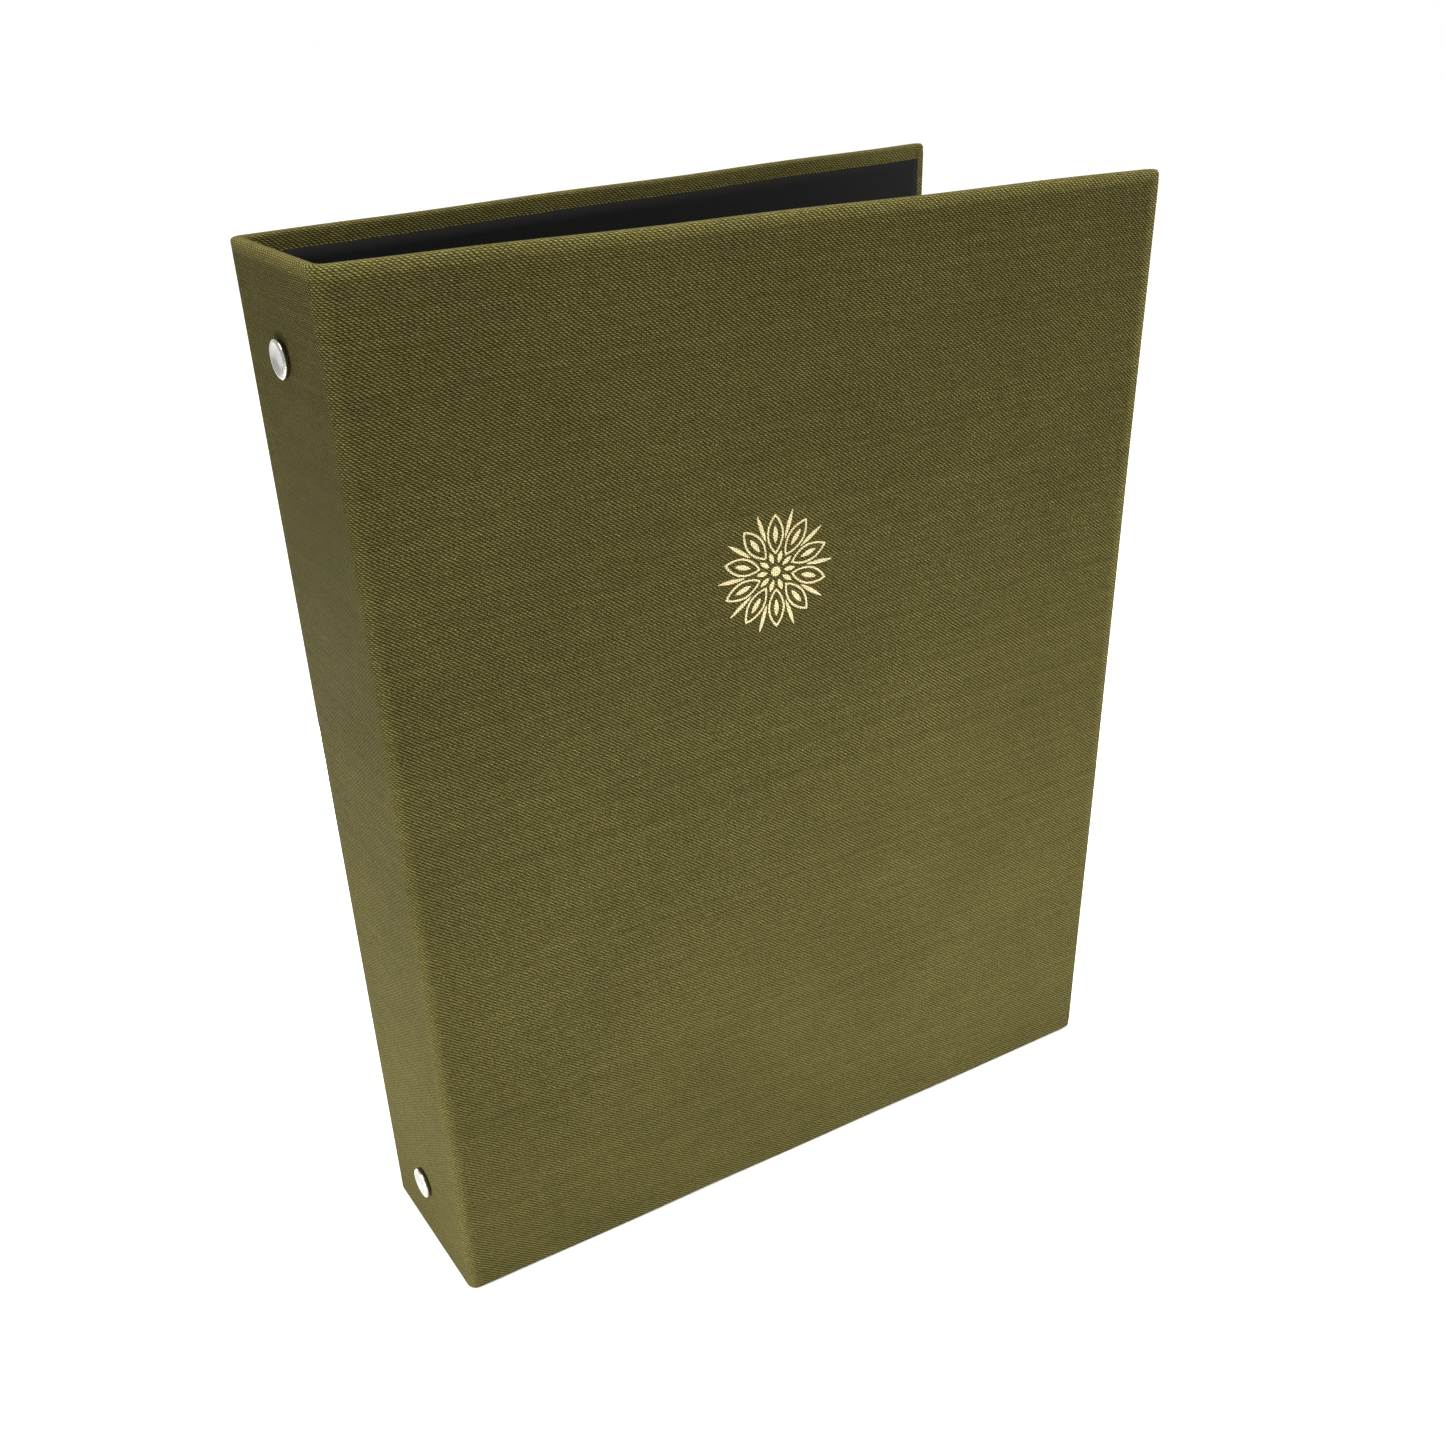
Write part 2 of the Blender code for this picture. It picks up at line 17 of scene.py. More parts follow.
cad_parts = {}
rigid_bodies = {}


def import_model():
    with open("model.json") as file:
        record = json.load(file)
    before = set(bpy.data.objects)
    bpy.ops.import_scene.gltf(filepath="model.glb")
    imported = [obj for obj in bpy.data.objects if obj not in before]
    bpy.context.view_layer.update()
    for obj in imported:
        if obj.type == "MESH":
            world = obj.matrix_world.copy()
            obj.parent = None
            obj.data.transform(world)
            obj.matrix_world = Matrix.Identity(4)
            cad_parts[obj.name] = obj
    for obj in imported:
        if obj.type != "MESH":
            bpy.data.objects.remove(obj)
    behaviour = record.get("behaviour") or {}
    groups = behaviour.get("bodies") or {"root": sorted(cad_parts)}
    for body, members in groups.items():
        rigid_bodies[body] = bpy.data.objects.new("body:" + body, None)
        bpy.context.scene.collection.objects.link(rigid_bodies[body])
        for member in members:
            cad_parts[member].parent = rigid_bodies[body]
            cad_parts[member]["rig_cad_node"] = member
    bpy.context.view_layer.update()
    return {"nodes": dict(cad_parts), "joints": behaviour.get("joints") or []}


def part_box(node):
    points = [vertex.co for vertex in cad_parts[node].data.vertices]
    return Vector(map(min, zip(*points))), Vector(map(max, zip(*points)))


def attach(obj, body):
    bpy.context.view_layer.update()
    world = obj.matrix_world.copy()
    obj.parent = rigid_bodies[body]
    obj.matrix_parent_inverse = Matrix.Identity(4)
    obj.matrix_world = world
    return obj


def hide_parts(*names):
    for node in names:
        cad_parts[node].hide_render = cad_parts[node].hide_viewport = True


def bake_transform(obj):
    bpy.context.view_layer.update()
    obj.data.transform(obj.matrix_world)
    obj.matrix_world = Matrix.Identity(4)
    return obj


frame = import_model()
JOINTS = {joint["name"]: joint for joint in frame["joints"]}

# The case, read from the frame where it says
SPINE_LOW, SPINE_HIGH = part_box("spine_cloth")
HEIGHT = SPINE_HIGH.z
PANEL = SPINE_HIGH.x - SPINE_LOW.x
SPINE_X = SPINE_LOW.x
SPINE_HALF = SPINE_HIGH.y
COVER_WIDTH = 0.245

# The size of the sheets' mesh
GRID = 0.0032
BEND_COLUMNS = 29
FAN_STEPS = 6

# The panels' slow ripple: how far they stand off their plane, how far their long edges stray in height,
# and how far from the bend it reaches its full size
RIPPLE = 0.00008
EDGE_STRAY = 0.00012
RIPPLE_REACH = 0.04

# The cloth's folds, and the fore corners' rounding in the panel's plane
EDGE_ROUND = 0.0010
EDGE_STEPS = 5
TURN_IN = 0.015
INNER_BEND = 0.0020
CORNER_REACH = 0.004
CORNER_POWER = 5.0

# The mitres: the lap's width and height, its folded end's height and spread beside them, how far it
# takes to rise from the fold and to fall along the turn-in, and where the lining paper begins to press
# it flat and over what distance
MITRE_LAP = 0.0004
MITRE_STEP = 0.0003
MITRE_END_HEIGHT = 0.8
MITRE_END_SPREAD = 1.3
MITRE_START = 0.001
MITRE_FADE = 0.004
MITRE_PRESSED = 0.0032
MITRE_PRESS_FADE = 0.0014

# Where the cloth is drawn lighter, partly as wear and partly as painted highlight where light from above
# catches the edges and folds, with painted light on the turn-ins: the reach in from an edge and out from
# the middle of a bend, then the lightening of a bend, of a fold's inner side, of a turn-in, and of a
# turn-in next to its fold, as shares of the full lightening
EDGE_LIGHTENING_REACH = 0.0024
BEND_LIGHTENING_REACH = 0.004
TURN_IN_FOLD_LIGHT_REACH = 0.002
BEND_LIGHTENING = 0.15
INNER_FOLD_LIGHTENING = 0.7
TURN_IN_PAINTED_LIGHT = 0.6
TURN_IN_FOLD_PAINTED_LIGHT = 0.3

# The lining paper
LINER_TOP_MARGIN = 0.0049
LINER_FORE_MARGIN = 0.0035
LINER_RISE = 0.00025
LINER_SINK = 0.00030
LINER_STEP = 0.0015
LINER_BEND_FADE = 0.004
LINER_EDGE = 0.0001

# The weave: the distance from one yarn to the next, how far the yarns wander from it and a float
# slants, in pitches, the warp's brightness beside the weft's, a painted shade that light from above
# leaves on the warp floats, and how much the full mask of wear and painted light lightens the cloth
WEFT_PITCH = 0.00054
WARP_PITCH = 0.00067
WARP_WANDER = 1.2
WEFT_WANDER = 1.4
FLOAT_TILT = -0.85
WARP_PAINTED_SHADE = 0.56
LIGHTENING_GAIN = 1.4

# A yarn: how far its crossings stray, its slubs and its own thickness as shares of the pitch, how much
# of its height is its roundness, and what sets one yarn's noise apart from the next one's
YARN_STRAY = 0.22
YARN_SLUB = 0.14
YARN_THICKNESS = 0.05
YARN_ROUND = 0.55
YARN_APART = 3.7

# The cloth's lightness, from its height above the gaps and a share of its hairs: painted shade in the
# gaps between the yarns and painted highlight on their crowns
GAP_HEIGHT = 0.17
HAIR_SHARE = 0.35

# A turned rivet: the head as (height off the spine, radius), the clinched end as (distance beyond the
# clinch's start, radius), and the shank between them
RIVET_HEAD = (
    (0.00095, 0.0),
    (0.00095, 0.0012),
    (0.00102, 0.0022),
    (0.00128, 0.0030),
    (0.00162, 0.00365),
    (0.00174, 0.00405),
    (0.00170, 0.00445),
    (0.00148, 0.00478),
    (0.00115, 0.00488),
    (0.00075, 0.00484),
    (0.00035, 0.00466),
    (0.00004, 0.00445),
)
RIVET_CLINCH = (
    (0.0, 0.0038),
    (0.0003, 0.0041),
    (0.0008, 0.0039),
    (0.0011, 0.0032),
    (0.0009, 0.0024),
    (0.0004, 0.0018),
    (-0.0006, 0.0015),
    (-0.0010, 0.0),
)
CLINCH_HEIGHT = 0.0011
RIVET_SHANK_RADIUS = 0.0025
RIVET_SHANK_SINK = 0.0001

# The half rings, as the CAD draws them
RINGS_PER_SIDE = 4
RING_RADIUS = 0.0176
RING_X = 0.0275 + SPINE_X
RING_LAST_TURN = math.radians(143)
RING_STEPS = 44
SHANK_Y = 0.008
SHANK_TOP = 0.0108 + SPINE_X
SHANK_FOOT = 0.0070 + SPINE_X
SHANK_STEPS = 12
TIP_GAP = 0.00045

# The stamped ornament: its place on the cover, and its leaves as (base, tip, half width)
ORNAMENT_X = 0.115
ORNAMENT_Z = 0.223
FOIL_LIFT = 0.00005
PETALS = 10
PETAL_OUTER = (0.0052, 0.0172, 0.0027)
PETAL_INNER = (0.0060, 0.0163, 0.0021)
PETAL_HEART = (0.0085, 0.0138, 0.00075)
SPIKE = (0.0098, 0.0186, 0.0006)
SMALL_LEAF = (0.0026, 0.0062, 0.0007)
EYE_RADIUS = 0.0015
EYE_SIDES = 24

# The camera, solved from the straight edges and corners of the album in the photo
CAMERA_PLACE = (-0.105529, -0.323798, 0.374046)
CAMERA_AZIMUTH = math.radians(35.2727)
CAMERA_PITCH = math.radians(-26.2750)
CAMERA_ROLL = math.radians(-1.8426)
CAMERA_LENS = 34.134
CAMERA_SHIFT = -0.05

# The studio: the surround, and soft lights as (name, place, target, size, watts)
SURROUND = 1.04
FLOOR_HALF = 12
FLOOR_DROP = 0.0002
LIGHTS = (
    ("overhead", (0.1, -0.1, 1.6), (0.1, 0, 0), (1.0, 1.0), 33),
    ("low_front", (0.2, -0.33, 0.03), (0.19, -0.03, 0.03), (0.38, 0.06), 2.35),
    ("low_spine", (-0.24, 0, 0.03), (0, 0, 0.03), (0.25, 0.06), 2.1),
    ("low_back", (0.14, 0.36, 0.03), (0.13, 0.04, 0.03), (0.38, 0.06), 1.9),
)


def spread(start, end, count):
    return [start + (end - start) * i / (count - 1) for i in range(count)]


def smoothstep(value):
    t = min(1.0, max(0.0, value))
    return t * t * (3 - 2 * t)


# ---------------------------------------------------------------- the case in plan


class Half:
    """One half of the case: side is -1 for the front and +1 for the back."""

    def __init__(self, side, joint):
        self.side = side
        self.pivot = Vector(joint["pos_m"][:2])
        opened = -math.radians(joint["range_deg"][0])
        turn = side * opened
        self.inward = Vector((1, 0))
        self.along_spine = Vector((0, side))
        self.along_cover = Vector((math.cos(turn), math.sin(turn)))
        self.theta = math.pi / 2 - opened
        self.inset = self.pivot.x - SPINE_X
        self.half_tan = math.tan(self.theta / 2)
        reach = abs(self.pivot.y) - SPINE_HALF
        tangent = reach + self.inset * self.half_tan
        self.radius = tangent / self.half_tan
        self.bend_start = SPINE_HALF
        self.bend_end = self.bend_start + self.radius * self.theta
        self.fore = self.bend_end + COVER_WIDTH - self.inset - reach
        inner_back = (PANEL - self.inset + INNER_BEND) * self.half_tan
        self.inner_start = abs(self.pivot.y) - inner_back
        self.inner_end = self.bend_end + inner_back - reach

    def normal(self, angle):
        """The direction into the panel where the line has turned by this angle."""
        return math.cos(angle) * self.inward - math.sin(angle) * self.along_spine

    def corner(self, depth):
        """Where the spine's plane and the cover's plane meet at this depth."""
        off = self.inward - self.half_tan * self.along_spine
        return self.pivot + (depth - self.inset) * off

    def on_arc(self, depth, radius, angle):
        start = self.corner(depth) - radius * self.half_tan * self.along_spine
        centre = start + radius * self.inward
        return centre - radius * self.normal(angle)

    def outer(self, s):
        if s <= self.bend_start:
            return Vector((SPINE_X, self.side * s))
        if s >= self.bend_end:
            end = self.on_arc(0, self.radius, self.theta)
            return end + (s - self.bend_end) * self.along_cover
        return self.on_arc(0, self.radius, (s - self.bend_start) / self.radius)

    def inner(self, s):
        if s <= self.inner_start:
            return Vector((SPINE_X + PANEL, self.side * s))
        if s >= self.inner_end:
            return self.outer(s) + PANEL * self.normal(self.theta)
        share = (s - self.inner_start) / (self.inner_end - self.inner_start)
        return self.on_arc(PANEL, INNER_BEND, share * self.theta)

    def ripple(self, s, z):
        """How far the cloth and its board stand off their plane, and how far an edge strays in height."""
        q = s - self.bend_end
        grown = smoothstep(q / RIPPLE_REACH)
        wave = math.sin(math.tau * (q / 0.13 + z / 0.21) + self.side)
        wave += 0.5 * math.sin(math.tau * (q / 0.061 - z / 0.097) + 2)
        stray = math.sin(math.tau * q / 0.085 + self.side) * (2 * z / HEIGHT - 1)
        return RIPPLE * grown * wave, EDGE_STRAY * grown * stray

    def soften(self, s, z):
        """Rounds the panel's two fore corners in its own plane."""
        centre_s = self.fore - CORNER_REACH
        top = z > HEIGHT / 2
        centre_z = HEIGHT - CORNER_REACH if top else CORNER_REACH
        ds = s - centre_s
        dz = z - centre_z if top else centre_z - z
        if ds <= 0 or dz <= 0:
            return s, z
        norm = (ds**CORNER_POWER + dz**CORNER_POWER) ** (1 / CORNER_POWER)
        scale = max(ds, dz) / norm
        return centre_s + ds * scale, centre_z + (dz if top else -dz) * scale

    def place(self, s, z, depth):
        s, z = self.soften(s, z)
        off, stray = self.ripple(s, z)
        outer, inner = self.outer(s), self.inner(s)
        across = inner - outer
        point = outer + depth * across - off * across.normalized()
        return Vector((point.x, point.y, z + stray))

    def columns(self, end):
        """Distances along the line, close together round the bend."""
        spine = spread(0, self.inner_start, 8)
        bend = spread(self.inner_start, self.inner_end, BEND_COLUMNS)[1:]
        count = max(2, round((end - self.inner_end) / GRID))
        cover = spread(self.inner_end, end, count + 1)[1:]
        return [*spine, *bend, *cover]

    def on_cover(self, x):
        """The distance along the line of a place on the cover, from its x in the closed album."""
        return self.fore - COVER_WIDTH + x

    def blend(self, obj):
        start = self.outer(self.bend_start)
        end = self.outer(self.bend_end)
        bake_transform(obj)


HALVES = {
    "front": Half(-1, JOINTS["front_cover_hinge"]),
    "back": Half(1, JOINTS["back_cover_hinge"]),
}


# ---------------------------------------------------------------- meshes


class Skin:
    """A sheet's points with their places on the flat cloth and their wear and painted light, and its
    faces.
    """

    def __init__(self, half):
        self.half = half
        self.points, self.flat, self.wear, self.faces = [], [], [], []

    def add(self, s, z, depth, flat, wear=0.0):
        self.points.append(self.half.place(s, z, depth))
        self.flat.append((self.half.side * flat[0], flat[1]))
        self.wear.append(wear)
        return len(self.points) - 1

    def lattice(self, rows):
        for low, high in zip(rows, rows[1:]):
            for i in range(len(low) - 1):
                corners = (low[i], low[i + 1], high[i + 1], high[i])
                if len(set(corners)) > 2:
                    self.faces.append(tuple(dict.fromkeys(corners)))

    def made(self, name, outward):
        """The object. outward is the direction that its first face looks in."""
        mesh = bpy.data.meshes.new(name)
        mesh.from_pydata([tuple(p) for p in self.points], [], self.faces)
        layer = mesh.uv_layers.new(name="cloth")
        for loop in mesh.loops:
            layer.data[loop.index].uv = self.flat[loop.vertex_index]
        # How much lighter the cloth is drawn at each point: partly wear, partly painted highlight and
        # painted light
        wear = mesh.attributes.new("wear", "FLOAT", "POINT")
        wear.data.foreach_set("value", self.wear)
        made = new_object(name, mesh)
        bm = bmesh.new()
        bm.from_mesh(mesh)
        bmesh.ops.recalc_face_normals(bm, faces=bm.faces)
        bm.faces.ensure_lookup_table()
        if bm.faces[0].normal.dot(outward) < 0:
            bmesh.ops.reverse_faces(bm, faces=bm.faces)
        bm.to_mesh(mesh)
        bm.free()
        mesh.shade_smooth()
        return made


def new_object(name, data):
    made = bpy.data.objects.new(name, data)
    bpy.context.scene.collection.objects.link(made)
    return made


def fold_profile():
    """The way over an edge from the outer face to the inner one: (out, depth, length), in metres."""
    points = []
    for i in range(1, EDGE_STEPS + 1):
        turn = math.pi / 2 * i / EDGE_STEPS
        points.append((math.sin(turn), 1 - math.cos(turn)))
    quarter = [(out * EDGE_ROUND, depth * EDGE_ROUND) for out, depth in points]
    far = [(out, PANEL - depth) for out, depth in reversed(quarter)]
    profile = [*quarter, *far, (0.0, PANEL)]
    made, length, before = [], 0.0, (0.0, 0.0)
    for point in profile:
        length += math.dist(before, point)
        made.append((*point, length))
        before = point
    return made


FOLD = fold_profile()
FOLD_LENGTH = FOLD[-1][2]
INSETS = [EDGE_ROUND, 0.002, 0.003, 0.0045, 0.007, 0.011, TURN_IN]


def squeezed(value, low, high, inset):
    """Moves the places near an end of a turn-in, so that its end runs along the mitre.

    low is None where the turn-in runs on across the spine.
    """
    room = TURN_IN - EDGE_ROUND
    share = max(0.02, (TURN_IN - inset) / room)
    if value > high - room:
        return high - room + (value - high + room) * share
    if low is not None and value < low + room:
        return low + room - (low + room - value) * share
    return value


def painted_light_by_height(z):
    """Painted light: the edges are drawn lighter towards the head, where light from above catches them,
    and hardly at all at the tail.
    """
    return smoothstep(z / HEIGHT)


def case_cloth(label):
    """One half of the case's cloth: outer face, three folded edges, and the mitred turn-ins."""
    half = HALVES[label]
    skin = Skin(half)
    end_s, low_z, high_z = half.fore - EDGE_ROUND, EDGE_ROUND, HEIGHT - EDGE_ROUND
    columns = half.columns(end_s)
    rows = spread(low_z, high_z, round(HEIGHT / GRID))

    # Painted highlight, partly wear: lighter near the edges, more so towards the head where light from
    # above falls, and a little lighter along the bend
    def wear(s, z):
        near = min(HEIGHT - z, z, half.fore - s)
        off_bend = abs(s - (half.bend_start + half.bend_end) / 2)
        edge = painted_light_by_height(z) * (1 - smoothstep(near / EDGE_LIGHTENING_REACH))
        return max(edge, BEND_LIGHTENING * (1 - smoothstep(off_bend / BEND_LIGHTENING_REACH)))

    face = [[skin.add(s, z, 0, (s, z), wear(s, z)) for s in columns] for z in rows]
    skin.lattice(face)

    turns = [math.pi / 2 * i / FAN_STEPS for i in range(FAN_STEPS + 1)]
    rim = [(s, low_z, 0.0, -1.0, face[0][i]) for i, s in enumerate(columns)]
    rim += [(end_s, low_z, math.sin(t), -math.cos(t), face[0][-1]) for t in turns[1:]]
    rim += [(end_s, z, 1.0, 0.0, face[k + 1][-1]) for k, z in enumerate(rows[1:])]
    rim += [(end_s, high_z, math.cos(t), math.sin(t), face[-1][-1]) for t in turns[1:]]
    back_along = list(reversed(list(enumerate(columns[:-1]))))
    rim += [(s, high_z, 0.0, 1.0, face[-1][i]) for i, s in back_along]

    rings = [[station[4] for station in rim]]
    # The folds are drawn lighter towards the head: painted highlight where light from above catches them,
    # partly wear
    for out, depth, length in FOLD:
        outside = depth < PANEL - EDGE_ROUND
        rings.append(
            [
                skin.add(
                    s + out * ds,
                    z + out * dz,
                    depth / PANEL,
                    (s + length * ds, z + length * dz),
                    painted_light_by_height(z) * (1.0 if outside else INNER_FOLD_LIGHTENING),
                )
                for s, z, ds, dz, _ in rim
            ]
        )
    skin.lattice(rings)

    last = rings[-1]
    fore_first = len(columns) + FAN_STEPS - 1
    fore_last = fore_first + len(rows) - 1
    turn_in(skin, last[: len(columns)], columns, -1)
    turn_in(skin, last[fore_first : fore_last + 1], rows, 0)
    turn_in(skin, last[fore_last + FAN_STEPS :], columns[::-1], 1)
    for first in (len(columns) - 1, fore_last):
        ring = last[first : first + FAN_STEPS + 1]
        for a, b in zip(ring[1:], ring[2:]):
            if len({ring[0], a, b}) == 3:
                skin.faces.append((ring[0], a, b))
    return skin.made(f"{label}_case_cloth", Vector((-1, 0, 0)))


def covered(inset):
    """Falls to 0 where the lining paper presses the mitre flat."""
    return 1 - smoothstep((inset - MITRE_PRESSED) / MITRE_PRESS_FADE)


def turn_in(skin, edge, places, sense):
    """The cloth folded onto the inner face.

    sense is +1 at the head, -1 at the tail and 0 at the fore edge.
    """
    half = skin.half
    lines = [list(edge)]
    for inset in INSETS[1:]:
        grown = FOLD_LENGTH + inset - EDGE_ROUND
        # Painted light: the turn-ins are drawn lighter, most of all next to the fold, for the light that
        # falls on them
        at_fold = 1 - smoothstep((inset - EDGE_ROUND) / TURN_IN_FOLD_LIGHT_REACH)
        lightening = TURN_IN_PAINTED_LIGHT + TURN_IN_FOLD_PAINTED_LIGHT * at_fold
        line = []
        for place in places:
            if sense:
                s = squeezed(place, None, half.fore - EDGE_ROUND, inset)
                z = HEIGHT - inset if sense > 0 else inset
                flat_z = HEIGHT - EDGE_ROUND + grown if sense > 0 else EDGE_ROUND - grown
                line.append(skin.add(s, z, 1.0, (s, flat_z), lightening))
                continue
            z = squeezed(place, EDGE_ROUND, HEIGHT - EDGE_ROUND, inset)
            to_mitre = min(z, HEIGHT - z) - inset
            rise = MITRE_STEP * (1 - smoothstep(to_mitre / MITRE_FADE))
            rise *= smoothstep((inset - EDGE_ROUND) / MITRE_START) * covered(inset)
            flat_s = half.fore - EDGE_ROUND + grown
            depth = 1.0 + rise / PANEL
            line.append(skin.add(half.fore - inset, z, depth, (flat_s, z), lightening))
        lines.append(line)
    skin.lattice(lines)
    if sense == 0:
        mitre_edge(skin, lines, 0, -1)
        mitre_edge(skin, lines, -1, 1)


def mitre_edge(skin, lines, end, sense):
    """The folded end of the fore-edge turn-in, which laps over the head's or the tail's."""
    half = skin.half
    strip = []
    for line, inset in zip(lines, INSETS):
        share = smoothstep((inset - EDGE_ROUND) / MITRE_START) * covered(inset)
        base = HEIGHT - inset if sense > 0 else inset
        over = sense * MITRE_LAP * share
        flat_s = half.fore + FOLD_LENGTH + inset - 2 * EDGE_ROUND
        flat = (flat_s, base + over)
        top = 1 + MITRE_END_HEIGHT * MITRE_STEP * share / PANEL
        foot = base + MITRE_END_SPREAD * over
        high = skin.add(half.fore - inset, base + over, top, flat)
        low = skin.add(half.fore - inset, foot, 1.0, flat)
        strip.append([line[end], high, low])
    skin.lattice(strip)


def lining(label):
    """One half of the lining paper, lapped over the turn-ins and sunk onto the board between them."""
    half = HALVES[label]
    skin = Skin(half)
    end_s = half.fore - LINER_FORE_MARGIN
    low_z, high_z = LINER_TOP_MARGIN, HEIGHT - LINER_TOP_MARGIN

    def level(s, z):
        edge = min(z, HEIGHT - z, half.fore - s)
        sunk = smoothstep((edge - TURN_IN) / LINER_STEP)
        if s > half.bend_start:
            sunk *= smoothstep((s - half.inner_end) / LINER_BEND_FADE)
        return 1 + (LINER_RISE - sunk * LINER_SINK) / PANEL

    near = [TURN_IN + off for off in (-0.001, 0.0, 0.0005, 0.001, LINER_STEP)]
    columns = sorted({*half.columns(end_s), *(half.fore - n for n in near)})
    columns = [s for s in columns if s <= end_s]
    rows = spread(low_z, high_z, round(HEIGHT / GRID))
    rows = sorted({*rows, *near, *(HEIGHT - n for n in near)})
    face = [[skin.add(s, z, level(s, z), (s, z)) for s in columns] for z in rows]
    skin.lattice(face)
    rim = [(s, low_z, 0, -1, face[0][i]) for i, s in enumerate(columns)]
    rim += [(end_s, z, 1, 0, face[k][-1]) for k, z in enumerate(rows)]
    rim += [(s, high_z, 0, 1, face[-1][i]) for i, s in reversed(list(enumerate(columns)))]
    wall = [
        skin.add(s + LINER_EDGE * ds, z + LINER_EDGE * dz, 0.99, (s, z), 1.0)
        for s, z, ds, dz, _ in rim
    ]
    skin.lattice([[station[4] for station in rim], wall])
    return skin.made(f"{label}_lining", Vector((1, 0, 0)))


# ---------------------------------------------------------------- metal shapes


def tube(name, path, radius, sides=20, dome=4, bulge=0.4):
    """A round wire along points in a plane of constant height, with domed ends."""
    bm = bmesh.new()
    stations = []
    start, finish = path[0], path[-1]
    into = (path[1] - path[0]).normalized()
    out_of = (path[-1] - path[-2]).normalized()
    for i in range(dome):
        turn = math.pi / 2 * (i + 0.5) / dome
        off = into * bulge * radius * math.cos(turn)
        stations.append((start - off, math.sin(turn)))
    stations += [(point, 1.0) for point in path]
    for i in reversed(range(dome)):
        turn = math.pi / 2 * (i + 0.5) / dome
        off = out_of * bulge * radius * math.cos(turn)
        stations.append((finish + off, math.sin(turn)))
    rings = []
    for i, (point, share) in enumerate(stations):
        if i <= dome:
            heading = into
        elif i >= len(stations) - dome - 1:
            heading = out_of
        else:
            heading = (stations[i + 1][0] - stations[i - 1][0]).normalized()
        side = Vector((-heading.y, heading.x, 0))
        ring = []
        for k in range(sides):
            turn = math.tau * k / sides
            off = math.cos(turn) * side + math.sin(turn) * Vector((0, 0, 1))
            ring.append(bm.verts.new(point + radius * share * off))
        rings.append(ring)
    loft(bm, rings, closed=True)
    return from_bmesh(name, bm)


def loft(bm, rings, closed):
    for low, high in zip(rings, rings[1:]):
        for k in range(len(low)):
            m = (k + 1) % len(low)
            bm.faces.new((low[k], low[m], high[m], high[k]))
    if closed:
        bm.faces.new(rings[0])
        bm.faces.new(rings[-1])


def from_bmesh(name, bm, smooth=40):
    bmesh.ops.recalc_face_normals(bm, faces=bm.faces)
    mesh = bpy.data.meshes.new(name)
    bm.to_mesh(mesh)
    bm.free()
    mesh.shade_smooth()
    mesh.set_sharp_from_angle(angle=math.radians(smooth))
    return new_object(name, mesh)


def through(points, steps=4):
    """A smooth line through the points."""
    ends = [points[0], *points, points[-1]]
    line = [points[0]]
    for a, b, c, d in zip(ends, ends[1:], ends[2:], ends[3:]):
        for i in range(1, steps + 1):
            t = i / steps
            line.append(
                tuple(
                    0.5
                    * (
                        2 * q
                        + (r - p) * t
                        + (2 * p - 5 * q + 4 * r - s) * t * t
                        + (3 * q - p - 3 * r + s) * t**3
                    )
                    for p, q, r, s in zip(a, b, c, d)
                )
            )
    return line


def lathe(name, profile, centre, sides=64):
    """A shape turned about a line along X. The profile runs from pole to pole as (x, radius)."""
    bm = bmesh.new()
    rings = []
    for x, radius in profile[1:-1]:
        rings.append(
            [
                bm.verts.new(
                    (
                        x,
                        centre.y + radius * math.cos(math.tau * k / sides),
                        centre.z + radius * math.sin(math.tau * k / sides),
                    )
                )
                for k in range(sides)
            ]
        )
    loft(bm, rings, closed=False)
    for end, ring in ((profile[0], rings[0]), (profile[-1], rings[-1])):
        pole = bm.verts.new((end[0], centre.y, centre.z))
        for k in range(sides):
            bm.faces.new((pole, ring[k], ring[(k + 1) % sides]))
    return from_bmesh(name, bm, 50)


# ---------------------------------------------------------------- node helpers


